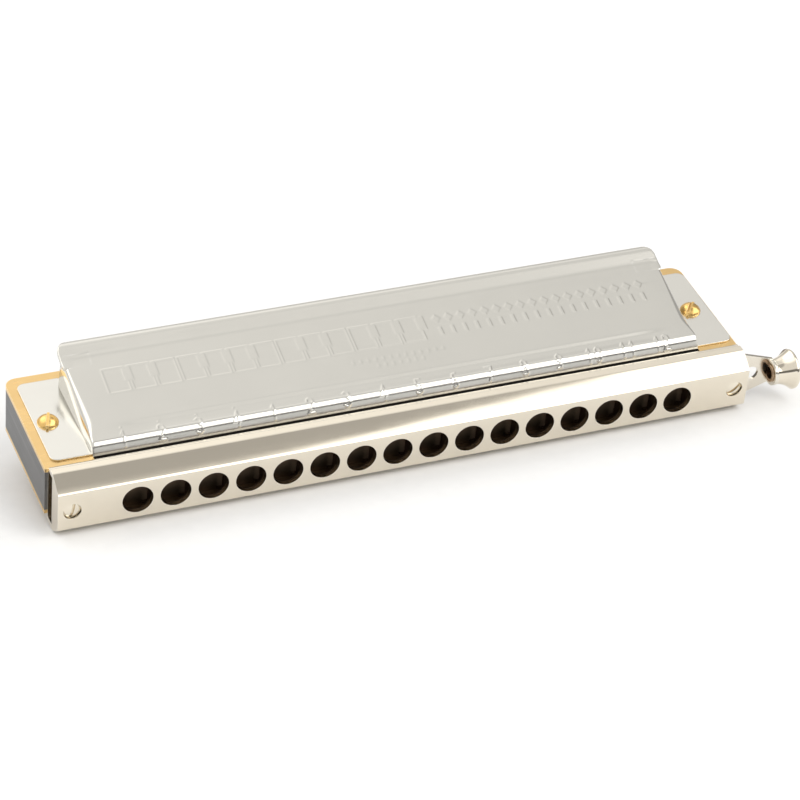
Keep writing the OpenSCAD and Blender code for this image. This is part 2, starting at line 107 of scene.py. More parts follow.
class Skin:
    """Collects quads and polygons in millimetres. Corners that coincide are joined when the mesh is made."""

    def __init__(self):
        self.points = []
        self.faces = []
        self.count = 0

    def add_points(self, points):
        points = np.asarray(points, float).reshape(-1, 3)
        first = self.count
        self.points.append(points)
        self.count += len(points)
        return first

    def grid(self, points, flip=False, ring=False):
        """Quads between rows of points. With ring, each row closes on itself."""
        rows, cols = points.shape[:2]
        index = self.add_points(points) + np.arange(rows * cols).reshape(rows, cols)
        if ring:
            index = np.concatenate([index, index[:, :1]], 1)
        quads = np.stack([index[:-1, :-1], index[:-1, 1:], index[1:, 1:], index[1:, :-1]], -1)
        quads = quads.reshape(-1, 4)
        if flip:
            quads = quads[:, ::-1]
        self.faces.extend(quads.tolist())

    def polygon(self, points, flip=False):
        first = self.add_points(points)
        loop = list(range(first, self.count))
        self.faces.append(loop[::-1] if flip else loop)

    def build(self, name, join=0.002, recalc=False):
        mesh = bpy.data.meshes.new(name)
        mesh.from_pydata((np.concatenate(self.points) * MM).tolist(), [], self.faces)
        work = bmesh.new()
        work.from_mesh(mesh)
        bmesh.ops.remove_doubles(work, verts=work.verts, dist=join * MM)
        bmesh.ops.dissolve_degenerate(work, edges=work.edges, dist=join * MM * 0.1)
        if recalc:
            bmesh.ops.recalc_face_normals(work, faces=work.faces)
        for face in work.faces:
            face.smooth = True
        work.to_mesh(mesh)
        work.free()
        obj = bpy.data.objects.new(name, mesh)
        bpy.context.scene.collection.objects.link(obj)
        return obj


def add_modifier(obj, kind, name, **settings):
    modifier = obj.modifiers.new(name, kind)
    for key, value in settings.items():
        setattr(modifier, key, value)
    return modifier


def bevel(obj, width, segments=3, angle=32):
    """Rounds the edges whose faces meet at more than angle degrees."""
    add_modifier(obj, "BEVEL", "edge", width=width * MM, segments=segments, limit_method="ANGLE",
                 angle_limit=math.radians(angle), use_clamp_overlap=True, harden_normals=True)


def clean_edges(obj, width):
    """Joins a CAD node's split corners, drops its flat triangulation and rounds its edges."""
    add_modifier(obj, "WELD", "join", merge_threshold=0.001 * MM)
    add_modifier(obj, "DECIMATE", "flatten", decimate_type="DISSOLVE", angle_limit=math.radians(1.0))
    bevel(obj, width)
    add_modifier(obj, "WEIGHTED_NORMAL", "shade", keep_sharp=True, weight=80)


def place(obj, body, slot, *nodes):
    """The piece moves with a CAD body, takes a material slot's finish and stands for CAD nodes."""
    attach(obj, body)
    if nodes:
        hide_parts(*nodes)
    obj.data.materials.clear()
    obj.data.materials.append(MATERIALS[slot])
    return obj


# ---------------------------------------------------------------- materials


class Nodes:
    """Short ways to add shader nodes to a tree."""

    def __init__(self, tree):
        self.tree = tree

    def node(self, kind):
        return self.tree.nodes.new("ShaderNode" + kind)

    def link(self, value, socket):
        if hasattr(value, "is_output"):
            self.tree.links.new(value, socket)
        else:
            socket.default_value = value

    def math(self, operation, a, b=0.0):
        node = self.node("Math")
        node.operation = operation
        self.link(a, node.inputs[0])
        self.link(b, node.inputs[1])
        return node.outputs[0]


class Graph(Nodes):
    """One material's nodes. Its patterns lie still in the shared frame."""

    def __init__(self, name):
        self.material = bpy.data.materials.new(name)
        self.material.use_nodes = True
        super().__init__(self.material.node_tree)
        self.shader = self.tree.nodes["Principled BSDF"]
        self.place = self.node("TexCoord").outputs["Object"]

    def noise(self, scale, detail=3.0, stretch=(1, 1, 1), rough=0.5):
        mapping = self.node("Mapping")
        mapping.inputs["Scale"].default_value = stretch
        self.link(self.place, mapping.inputs["Vector"])
        node = self.node("TexNoise")
        self.link(mapping.outputs[0], node.inputs["Vector"])
        node.inputs["Scale"].default_value = scale
        node.inputs["Detail"].default_value = detail
        node.inputs["Roughness"].default_value = rough
        return node.outputs["Fac"]

    def spread(self, value, low, high, out_low, out_high):
        """Maps low..high to out_low..out_high and holds it there."""
        node = self.node("MapRange")
        self.link(value, node.inputs["Value"])
        node.inputs["From Min"].default_value = low
        node.inputs["From Max"].default_value = high
        node.inputs["To Min"].default_value = out_low
        node.inputs["To Max"].default_value = out_high
        return node.outputs[0]

    def mix(self, factor, a, b):
        node = self.node("Mix")
        node.data_type = "RGBA"
        self.link(factor, node.inputs["Factor"])
        for value, socket in ((a, node.inputs[6]), (b, node.inputs[7])):
            self.link(value if hasattr(value, "is_output") else (*value, 1.0), socket)
        return node.outputs[2]

    def edges(self, radius):
        """About 1 on outside edges and 0 on flat surface."""
        round_off = self.node("Bevel")
        round_off.samples = 4
        round_off.inputs["Radius"].default_value = radius * MM
        geometry = self.node("NewGeometry")
        dot = self.node("VectorMath")
        dot.operation = "DOT_PRODUCT"
        self.link(round_off.outputs[0], dot.inputs[0])
        self.link(geometry.outputs["Normal"], dot.inputs[1])
        return self.spread(dot.outputs["Value"], 0.999, 0.93, 0.0, 1.0)

    def bump(self, height, distance, strength=1.0, over=None):
        node = self.node("Bump")
        node.inputs["Strength"].default_value = strength
        node.inputs["Distance"].default_value = distance * MM
        self.link(height, node.inputs["Height"])
        if over is not None:
            self.link(over, node.inputs["Normal"])
        return node.outputs[0]

    def set(self, **sockets):
        names = {"color": "Base Color", "rough": "Roughness", "metal": "Metallic", "normal": "Normal",
                 "spec": "Specular IOR Level"}
        for key, value in sockets.items():
            self.link(value, self.shader.inputs[names[key]])
        return self.material


def box_mask(g, low, high, soft=0.1):
    """1 inside a box given in millimetres, 0 outside; None leaves a side open."""
    split = g.node("SeparateXYZ")
    g.link(g.place, split.inputs[0])
    mask = 1.0
    for axis in range(3):
        if low[axis] is not None:
            edge = g.spread(split.outputs[axis], (low[axis] - soft) * MM, low[axis] * MM, 0, 1)
            mask = g.math("MULTIPLY", edge, mask)
        if high[axis] is not None:
            edge = g.spread(split.outputs[axis], high[axis] * MM, (high[axis] + soft) * MM, 1, 0)
            mask = g.math("MULTIPLY", edge, mask)
    return mask


# Width of the bright wear along metal edges
WORN_EDGE = 0.25


def metal(name, base, worn, rough, spread=0.05, grain=(1, 1, 1), grain_depth=0.002, wave_depth=0.0,
          tarnish=0.15, shade_boxes=(), shade_colour=None):
    """Bare or plated metal: blotchy tone, uneven roughness, fine rubbing marks and brighter worn edges.

    Its last two arguments lay painted shade: boxes in which the metal takes a dark colour and turns dull."""
    g = Graph(name)
    blotch = g.noise(70, 4, rough=0.6)
    fine = g.noise(900, 2, grain)
    shade = g.mix(g.spread(blotch, 0.35, 0.7, 0.0, tarnish), base, [c * 0.8 for c in base])
    rim = g.edges(WORN_EDGE)
    broken = g.math("MULTIPLY", rim, g.spread(g.noise(400), 0.3, 0.6, 0.3, 1.0))
    colour = g.mix(broken, shade, worn)
    roughness = g.math("ADD", g.spread(blotch, 0.3, 0.75, rough, rough + spread),
                       g.math("MULTIPLY", g.spread(fine, 0.4, 0.7, 0.0, 1.0), spread * 0.6))
    # Painted shade: inside the listed boxes the metal is darkened to the given colour and made duller
    if shade_boxes:
        shaded = 0.0
        for region in shade_boxes:
            shaded = g.math("MAXIMUM", shaded, box_mask(g, *region))
        colour = g.mix(shaded, colour, shade_colour)
        roughness = g.math("ADD", roughness, g.math("MULTIPLY", shaded, 0.3))
    roughness = g.math("ADD", roughness, g.math("MULTIPLY", broken, 0.05))
    normal = g.bump(fine, grain_depth)
    if wave_depth:
        normal = g.bump(g.noise(55, 1, (0.6, 1, 1)), wave_depth, over=normal)
    return g.set(color=colour, rough=roughness, metal=1.0, normal=normal)


def comb_material():
    """Dense black comb: satin face with fine saw lines, greyed edges and a painted warm light on its face
    behind the bores.
    """
    g = Graph("comb_black")
    lines = g.noise(420, 3, (0.05, 0.05, 6.0))
    blotch = g.noise(90, 4)
    body = g.mix(g.spread(blotch, 0.3, 0.7, 0.0, 1.0), (0.075, 0.075, 0.077), (0.115, 0.113, 0.115))
    body = g.mix(g.math("MULTIPLY", g.spread(lines, 0.45, 0.7, 0.0, 1.0), 0.4), body, (0.15, 0.147, 0.145))
    colour = g.mix(g.math("MULTIPLY", g.edges(0.3), 0.7), body, (0.24, 0.235, 0.23))
    # Painted light: warm brown on the comb's face where it is seen through the bores
    colour = g.mix(box_mask(g, *LIGHT_IN_COMB), colour, (0.36, 0.25, 0.15))
    rough = g.spread(lines, 0.3, 0.7, 0.34, 0.5)
    return g.set(color=colour, rough=rough, spec=0.6, normal=g.bump(lines, 0.02, 0.6))


def plastic(name, base, worn, rough, grain_depth=0.01, spec=0.5):
    """Matt moulding or film: blotchy tone, fine grain and paler worn edges."""
    g = Graph(name)
    blotch = g.noise(150, 4)
    fine = g.noise(600, 3)
    body = g.mix(g.spread(blotch, 0.35, 0.7, 0.0, 0.5), base, [c * 0.75 for c in base])
    colour = g.mix(g.math("MULTIPLY", g.edges(0.2), 0.6), body, worn)
    roughness = g.spread(fine, 0.3, 0.7, rough, rough + 0.12)
    return g.set(color=colour, rough=roughness, spec=spec, normal=g.bump(fine, grain_depth))


# Colours of painted shade and painted light, and the boxes (low corner, high corner, softness) where a
# surface changes colour
# Painted shade: dark brown laid inside the mouthpiece's bores, behind its lip and on the slide inside its
# channel
HOLLOW_SHADE = (0.18, 0.135, 0.095)
# Painted shade: near black on the reed plate in the narrow groove between the cover's front wall and the
# mouthpiece's lip
GROOVE_SHADE = (0.012, 0.01, 0.008)
SHADE_BEFORE_COVER = ((-79.2, None, None), (81.0, 10.7, None), 0.15)
# Painted shade box: the slide where it runs inside its channel
SHADE_IN_CHANNEL = ((-90.0, None, None), (90.5, None, None), 0.3)
# Painted shade boxes: inside the mouthpiece's bores, and the lip's back face that looks at the cover's front
# wall
SHADE_IN_BORES = ((-80.0, 1.5, -5.6), (80.0, None, 5.6), 0.7)
SHADE_BEHIND_LIP = ((None, 6.74, None), (None, None, 8.36), 0.05)
# Painted light box: the comb's face behind the bores
LIGHT_IN_COMB = ((-80.0, None, -5.2), (80.0, 22.0, 5.2), 0.3)

MATERIALS = {
    # The mouthpiece's nickel gets painted shade inside its bores and behind its lip
    "mouthpiece_nickel": metal("mouthpiece_nickel", (0.80, 0.735, 0.62), (0.90, 0.86, 0.78), 0.07,
                               spread=0.03, grain=(0.15, 1, 1), grain_depth=0.0012, wave_depth=0.05,
                               shade_boxes=(SHADE_IN_BORES, SHADE_BEHIND_LIP), shade_colour=HOLLOW_SHADE),
    # The slide's nickel gets painted shade inside its channel
    "slide_nickel": metal("slide_nickel", (0.80, 0.75, 0.66), (0.90, 0.87, 0.80), 0.14, spread=0.06,
                          grain=(0.1, 1, 1), grain_depth=0.002, shade_boxes=(SHADE_IN_CHANNEL,), shade_colour=HOLLOW_SHADE),
    # Nickel without the painted shade, used for the slide's channel
    "unshaded_nickel": metal("unshaded_nickel", (0.80, 0.74, 0.63), (0.90, 0.86, 0.78), 0.12, spread=0.05,
                          grain=(0.15, 1, 1), grain_depth=0.0015),
    "cover_chrome": metal("cover_chrome", (0.735, 0.72, 0.675), (0.85, 0.84, 0.81), 0.16, spread=0.05,
                          grain=(0.12, 1, 1), grain_depth=0.0015, wave_depth=0.06, tarnish=0.1),
    # The reed plates' brass is painted near black in the groove in front of the cover
    "reed_plate_brass": metal("reed_plate_brass", (0.82, 0.57, 0.26), (1.0, 0.80, 0.45), 0.24, spread=0.1,
                              grain=(0.2, 1, 1), grain_depth=0.003, tarnish=0.35,
                              shade_boxes=(SHADE_BEFORE_COVER,), shade_colour=GROOVE_SHADE),
    "reed_brass": metal("reed_brass", (0.93, 0.66, 0.27), (1.0, 0.82, 0.50), 0.2, spread=0.08,
                        grain=(1, 0.1, 1), grain_depth=0.002, tarnish=0.3),
    "screw_brass": metal("screw_brass", (0.88, 0.57, 0.20), (1.0, 0.80, 0.45), 0.17, spread=0.1,
                         grain_depth=0.003, tarnish=0.5),
    "rivet_steel": metal("rivet_steel", (0.62, 0.62, 0.63), (0.80, 0.80, 0.80), 0.22, spread=0.1),
    "spring_steel": metal("spring_steel", (0.58, 0.58, 0.60), (0.78, 0.78, 0.78), 0.2, spread=0.08),
    "rivet_bronze": metal("rivet_bronze", (0.34, 0.22, 0.13), (0.75, 0.62, 0.48), 0.26, spread=0.12,
                          tarnish=0.6),
    "comb_black": comb_material(),
    "bed_plate_grey": plastic("bed_plate_grey", (0.17, 0.12, 0.08), (0.3, 0.22, 0.15), 0.6, spec=0.25),
    "valve_film": plastic("valve_film", (0.82, 0.80, 0.74), (0.90, 0.89, 0.85), 0.4, 0.004),
    "sleeve_rubber": plastic("sleeve_rubber", (0.05, 0.048, 0.045), (0.12, 0.115, 0.11), 0.6, 0.02),
}


# ---------------------------------------------------------------- stamped cover

COVER_LO, COVER_HI = mm_box("upper_cover")
PLATE_TOP = mm_box("upper_reed_plate")[1].z
SHIFT = (COVER_LO.x + COVER_HI.x) / 2
SHEET = 0.5
FOOT_Y = COVER_LO.y
HOOD_R = 3.0
HOOD_Y, HOOD_H = 41.45, 7.3
HOOD_START, HOOD_END = 112, -40
VALLEY = (37.1, 8.8)
BAND_FRONT = (24.5, 6.0)
BAND_BACK = (33.0, 7.95)
WALL_TOP, EDGE_TOP = (11.3, 2.1), (12.06, 3.05)
FIELD_HALF = 73.0
# The upright end walls: where they stand, their lean, and the round shoulder on top of them
END_X, END_LEAN = 80.3, 0.05
SHOULDER, SHOULDER_FRONT, SHOULDER_BACK = 2.1, 0.3, 0.6
SHOULDER_DEPTH, SHOULDER_DEPTH_MAX = 1.6, 0.8
CORNER_SET_BACK = 0.7
# The lowered strip with the numbers: its depth, and where and over what length it fades at the ends
STRIP_DEPTH, STRIP_HALF, STRIP_FADE = 0.17, 64.0, 12.0
COLUMN_STEP = 0.16


def front_line():
    """Foot of the front wall, up the wall, over the slanting edge: (Y, height above the plate)."""
    beyond = (EDGE_TOP[0] + 0.6, EDGE_TOP[1] + 0.14)
    return rounded([(FOOT_Y, 0.0), WALL_TOP, EDGE_TOP, beyond], [0.3, 0.25], 8)


def hood_start():
    return arc((HOOD_Y, HOOD_H), HOOD_R, HOOD_START, HOOD_END, 1)[0]


def field_line():
    """From the front edge up the field to the valley and on to the start of the hood's roll."""
    start = front_line()[-1]
    return rounded([start, BAND_FRONT, BAND_BACK, VALLEY, hood_start()], [1.0, 1.0, 1.1], 6)


def rows_for(line, fine_spans, fine, coarse):
    """Distances along a line, closely spaced inside the (Y0, Y1) spans."""
    along = lengths(line)
    marks = [0.0]
    while marks[-1] < along[-1]:
        y = np.interp(marks[-1], along, line[:, 0])
        close = any(lo <= y <= hi for lo, hi in fine_spans)
        marks.append(marks[-1] + (fine if close else coarse))
    marks = np.array(marks)
    return marks * along[-1] / marks[-1]


def strip_drop(u, y):
    """The strip with the numbers lies a little lower than the field and rises to it at the ends."""
    depth = STRIP_DEPTH * (1 - smooth((np.abs(u) - STRIP_HALF) / STRIP_FADE))
    return depth * smooth((y - 12.0) / 2.2) * (1 - smooth((y - 15.0) / 1.5))


def end_section(y, h):
    """One line out over an end: field, round shoulder, nearly upright wall down into the flange."""
    height = h - SHEET
    corner = np.array([END_X - END_LEAN * height, h])
    shoulder = min(height, SHOULDER) * (SHOULDER_FRONT + (1 - SHOULDER_FRONT) * smooth((y - 12.0) / 7.0))
    shoulder *= 1 - SHOULDER_BACK * smooth((y - 16.0) / 20.0)
    start = corner - (shoulder, 0)
    end = corner + np.array([END_LEAN, -1.0]) * min(SHOULDER_DEPTH * shoulder, SHOULDER_DEPTH_MAX * height)
    t = np.linspace(0, 1, 15)[:, None]
    bend = (1 - t) ** 2 * start + 2 * t * (1 - t) * corner + t * t * end
    section = np.concatenate([[(FIELD_HALF, h)], bend, [(END_X + 0.1, SHEET - 0.15)]])
    set_back = CORNER_SET_BACK * max(0.0, 1 - (y - 12.0) / 8.0)
    fraction = np.clip((h - section[:, 1]) / (h - SHEET), 0, 1) ** 2
    return np.stack([section[:, 0], y + set_back * fraction, section[:, 1]], 1)


# The hood's tab at each end: distances s run backwards from the valley, u outwards from the cover's middle
TAB_FRONT = -2.5
TAB_SIDE = END_X + 0.1
TAB_START = 1.05
TAB_FRONT_R = 1.0
TAB_CORNER_S, TAB_CORNER_U, TAB_CUT_S, TAB_CORNER_POWER = 2.2, 2.5, 6.6, 1.9
TAB_RIM_R, TAB_RIM_DROP = 0.35, 0.5
TAB_SINK = 0.08
TAB_RISE_U, TAB_RISE_SPAN, TAB_RISE = 75.0, 3.8, 1.35


def tab_side(s):
    """Where the hood's sheet ends sideways, for a distance s behind the valley."""
    front = TAB_FRONT_R - (s - TAB_FRONT)
    round_off = TAB_FRONT_R - np.sqrt(np.clip(TAB_FRONT_R ** 2 - front ** 2, 0, 1))
    side = TAB_SIDE - np.where(front > 0, round_off, 0.0)
    turn = np.clip((s - TAB_CORNER_S) / (TAB_CUT_S - TAB_CORNER_S), 0, 1)
    return side - TAB_CORNER_U * turn ** TAB_CORNER_POWER


def hood_tab(rest):
    """The hood's sheet beyond the middle: a tab with round corners and a turned-down rim.

    In front of the valley it lies under the field and comes up through it only at the shoulder.

    rest holds the outer line's points from just behind the valley on."""
    valley = np.array(VALLEY)
    ahead = hood_start() - valley
    ahead /= np.linalg.norm(ahead)
    first = np.linalg.norm(rest[0] - valley)
    field = valley - np.array(BAND_BACK)
    field /= np.linalg.norm(field)
    front = [TAB_FRONT + TAB_FRONT_R - math.cos(a) for a in np.radians(np.linspace(0, 90, 7))]
    middle = np.linspace(TAB_FRONT + TAB_FRONT_R + 0.25, first, 13)[:-1]
    hidden = np.array([valley + (field if s < 0 else ahead) * s for s in [*front, *middle]])
    sunk = TAB_SINK * smooth((first - (hidden - valley) @ ahead) / 0.9)
    sunk = np.append(sunk, np.zeros(len(rest)))
    line = np.concatenate([hidden, rest])
    s = lengths(line) + TAB_FRONT
    side = tab_side(s)
    along = np.gradient(line, axis=0)
    along /= np.linalg.norm(along, axis=1, keepdims=True)
    up = np.stack([-along[:, 1], along[:, 0]], 1)
    turn = np.arctan2(-np.gradient(side, s), 1.0)
    turn = np.where(s < TAB_FRONT + 0.02, -np.pi / 2, turn)
    rows = []
    for k in range(len(line)):
        reach = FIELD_HALF + (side[k] - TAB_RIM_R - FIELD_HALF) * np.linspace(0, 1, 9)
        below = sunk[k] * (1 - TAB_RISE * smooth((reach - TAB_RISE_U) / TAB_RISE_SPAN))
        row = [(u, line[k, 0], line[k, 1] - drop) for u, drop in zip(reach, below)]
        out = np.array([math.cos(turn[k]), *(math.sin(turn[k]) * along[k])])
        down = np.array([0.0, *(-up[k])])
        root = np.array(row[-1])
        for a in np.radians([15, 30, 45, 60, 75, 90]):
            row.append(root + (out * math.sin(a) + down * (1 - math.cos(a))) * TAB_RIM_R)
        row.append(root + out * TAB_RIM_R + down * (TAB_RIM_R + TAB_RIM_DROP))
        rows.append(np.array(row))
    return np.array(rows)


def cover_surface():
    """The cover's outer surface as patches of (X, Y, height above the plate), X measured from its middle."""
    front = front_line()
    front = resample(front, rows_for(front, [], 0.12, 0.12))
    field = field_line()
    stamped = [(0, 15.2), (24.0, 33.4)]
    field = resample(field, rows_for(field, stamped, 0.14, 0.35))
    hood = arc((HOOD_Y, HOOD_H), HOOD_R, HOOD_START, HOOD_END, 36)
    columns = np.linspace(-FIELD_HALF, FIELD_HALF, round(2 * FIELD_HALF / COLUMN_STEP) + 1)

    line = np.concatenate([front, field[1:], hood[1:]])
    u = np.broadcast_to(columns, (len(line), len(columns)))
    y = np.broadcast_to(line[:, :1], u.shape)
    h = line[:, 1:] - strip_drop(u, y)
    h[:len(front) - 1] = line[:len(front) - 1, 1:]
    middle = np.stack([u, y, h], -1)

    behind_valley = (line[:, 0] > VALLEY[0] + TAB_START).nonzero()[0][0]
    sections = np.array([end_section(*line[row]) for row in range(len(front) - 1, behind_valley + 1)])
    sections[:, :, 2] -= strip_drop(sections[:, :, 0], sections[:, :, 1])
    top = sections[0]
    below = line[:len(front)]
    corner = np.stack([np.broadcast_to(top[:, 0], (len(below), len(top))),
                       below[:, :1] + (top[:, 1] - top[0, 1]),
                       below[:, 1:] * (top[:, 2] / top[0, 2])], -1)
    return middle, [sections, corner, hood_tab(line[behind_valley:])]


# Strokes of each digit, in a box one unit wide and one unit high
DIGITS = {
    "1": [[(0.30, 0.78), (0.55, 1.0), (0.55, 0.0)]],
    "2": [[(0.12, 0.76), (0.22, 0.95), (0.5, 1.02), (0.8, 0.93), (0.88, 0.72), (0.72, 0.48), (0.12, 0.0),
           (0.9, 0.0)]],
    "3": [[(0.14, 0.9), (0.45, 1.02), (0.8, 0.92), (0.84, 0.68), (0.5, 0.54), (0.86, 0.42), (0.9, 0.16),
           (0.5, -0.02), (0.12, 0.1)]],
    "4": [[(0.68, 0.0), (0.68, 1.0), (0.1, 0.3), (0.92, 0.3)]],
    "5": [[(0.82, 1.0), (0.24, 1.0), (0.18, 0.56), (0.55, 0.64), (0.88, 0.5), (0.88, 0.16), (0.5, -0.02),
           (0.12, 0.1)]],
    "6": [[(0.78, 0.96), (0.4, 0.92), (0.16, 0.55), (0.14, 0.2), (0.48, -0.02), (0.84, 0.14), (0.84, 0.42),
           (0.5, 0.56), (0.16, 0.4)]],
    "7": [[(0.12, 1.0), (0.9, 1.0), (0.42, 0.0)]],
    "8": [[(0.5, 0.54), (0.2, 0.66), (0.2, 0.9), (0.5, 1.02), (0.8, 0.9), (0.8, 0.66), (0.5, 0.54),
           (0.14, 0.38), (0.14, 0.12), (0.5, -0.02), (0.86, 0.12), (0.86, 0.38), (0.5, 0.54)]],
    "9": [[(0.22, 0.04), (0.6, 0.08), (0.84, 0.45), (0.86, 0.8), (0.52, 1.02), (0.16, 0.86), (0.16, 0.58),
           (0.5, 0.44), (0.84, 0.6)]],
    "0": [[(0.5, 1.02), (0.18, 0.85), (0.12, 0.5), (0.18, 0.15), (0.5, -0.02), (0.82, 0.15), (0.88, 0.5),
           (0.82, 0.85), (0.5, 1.02)]],
}
DIGIT_W, DIGIT_H = 2.0, 4.1
DIGIT_GAP, NUMBER_BELOW, NUMBER_REACH = 0.5, 1.8, 3.6
STROKE, STROKE_SOFT = 0.24, 0.18
DOT_R, DOT_BELOW = 0.28, 0.7
# The relief is weakest where the numbers cross the slanting edge
EDGE_LOSS, EDGE_SPAN = 0.6, 0.7
NUMBER_H, BAND_H = 0.08, 0.07
BAND_SOFT = 0.28


def stroke_distance(px, py, line):
    """Distance from points to an open line of segments."""
    best = np.full(px.shape, 1e3)
    for (ax, ay), (bx, by) in zip(line[:-1], line[1:]):
        dx, dy = bx - ax, by - ay
        t = np.clip(((px - ax) * dx + (py - ay) * dy) / (dx * dx + dy * dy), 0, 1)
        best = np.minimum(best, np.hypot(px - ax - t * dx, py - ay - t * dy))
    return best


def ridge(distance, half_width, soft=0.16):
    """Height 1 inside half_width, falling smoothly to 0."""
    return 1 - smooth((distance - half_width + soft) / (2 * soft))


def number_stamp(u, v):
    """Hole numbers 1-4, then 1-12, laid over the slanting edge and lowest on it. v runs up the surface."""
    height = np.zeros(u.shape)
    labels = ["1", "2", "3", "4"] + [str(n) for n in range(1, 13)]
    for i, label in enumerate(labels):
        middle = hole_x(i) - SHIFT
        near = (np.abs(u[0] - middle) < NUMBER_REACH).nonzero()[0]
        cols = slice(near[0], near[-1] + 1)
        x, y = u[:, cols] - middle, v[:, cols]
        width = len(label) * DIGIT_W + (len(label) - 1) * DIGIT_GAP
        for k, digit in enumerate(label):
            left = -width / 2 + k * (DIGIT_W + DIGIT_GAP)
            for line in DIGITS[digit]:
                scaled = [(left + a * DIGIT_W, b * DIGIT_H - NUMBER_BELOW) for a, b in line]
                raised = ridge(stroke_distance(x, y, scaled), STROKE, STROKE_SOFT)
                height[:, cols] = np.maximum(height[:, cols], raised)
        if i < 4:
            dot = ridge(np.hypot(x, y - DIGIT_H + DOT_BELOW), DOT_R)
            height[:, cols] = np.maximum(height[:, cols], dot)
    return height * (1 - EDGE_LOSS * np.exp(-(v / EDGE_SPAN) ** 2))


def bar(x, y, half_w, half_h, radius=0.25):
    """Signed distance to an upright bar with round corners."""
    qx, qy = np.abs(x) - half_w + radius, np.abs(y) - half_h + radius
    return np.hypot(np.maximum(qx, 0), np.maximum(qy, 0)) + np.minimum(np.maximum(qx, qy), 0) - radius


KEYS_X0, KEY_PITCH, KEY_COUNT = -72.0, 6.4, 13
BEADS_X0, BEAD_PITCH, BEAD_COUNT = 15.5, 3.3, 18
BAND_MID_Y, BAND_HALF = 28.75, 3.7
KEY_GAP, KEY_LINE = 0.35, 0.24
DOTS_X0, DOTS_PITCH, DOTS_COUNT, DOTS_R, DOTS_SHARE = -10.0, 2.0, 13, 0.42, 0.8
DOT_ROW_Y, SHORT_ROW_Y = 21.6, 19.6


def band_stamp(u, y):
    """A keyboard on the left, two rows of beads on the right and two short rows of dots in front."""
    v = y - BAND_MID_Y
    height = np.zeros(u.shape)
    for k in range(KEY_COUNT):
        x = u - (KEYS_X0 + (k + 0.5) * KEY_PITCH)
        outline = np.abs(bar(x, v, KEY_PITCH / 2 - KEY_GAP, BAND_HALF)) - KEY_LINE
        height = np.maximum(height, ridge(outline, 0.0, BAND_SOFT))
        if k % 7 not in (2, 6):
            top = bar(x - KEY_PITCH / 2, v - 1.5, 1.15, 2.2)
            height = np.maximum(height, ridge(top, 0.0, BAND_SOFT))
    for k in range(BEAD_COUNT):
        x = u - (BEADS_X0 + k * BEAD_PITCH)
        lozenge = (np.abs(x) / 1.25 + np.abs(v - 2.1) / 1.35 - 1) * 0.9
        height = np.maximum(height, ridge(lozenge, 0.0, BAND_SOFT))
        height = np.maximum(height, ridge(bar(x, v + 1.9, 0.45, 1.3), 0.0, BAND_SOFT))
    for k in range(DOTS_COUNT):
        x = u - (DOTS_X0 + k * DOTS_PITCH)
        rows = (DOT_ROW_Y, SHORT_ROW_Y) if 3 <= k <= 9 else (DOT_ROW_Y,)
        for row_y in rows:
            height = np.maximum(height, DOTS_SHARE * ridge(np.hypot(x, y - row_y), DOTS_R, 0.2))
    return height


def grid_normals(points):
    """Unit normals of a grid of points."""
    along = np.gradient(points, axis=1)
    across = np.gradient(points, axis=0)
    n = np.cross(along, across)
    return n / np.maximum(np.linalg.norm(n, axis=-1, keepdims=True), 1e-12)


# Y up to which the numbers reach, and the stretch of Y that holds the band
NUMBERS_END = 16.5
BAND_SPAN = (18.0, 34.0)


def stamp(middle):
    """Raises the numbers and the band pattern from the middle patch."""
    column = middle[:, middle.shape[1] // 2, 1:]
    along = lengths(column)
    edge = np.argmin(np.abs(column[:, 0] - (WALL_TOP[0] + EDGE_TOP[0]) / 2))
    v = np.broadcast_to((along - along[edge])[:, None], middle.shape[:2])
    u, y = middle[..., 0], middle[..., 1]
    height = np.zeros(u.shape)
    numbers = (column[:, 0] < NUMBERS_END).nonzero()[0]
    rows = slice(0, numbers[-1] + 1)
    height[rows] = NUMBER_H * number_stamp(u[rows], v[rows])
    band = ((column[:, 0] > BAND_SPAN[0]) & (column[:, 0] < BAND_SPAN[1])).nonzero()[0]
    rows = slice(band[0], band[-1] + 1)
    height[rows] = np.maximum(height[rows], BAND_H * band_stamp(u[rows], y[rows]))
    return middle + grid_normals(middle) * height[..., None]


COVER_SCREW_X, COVER_SCREW_Y = 86.0, 25.3


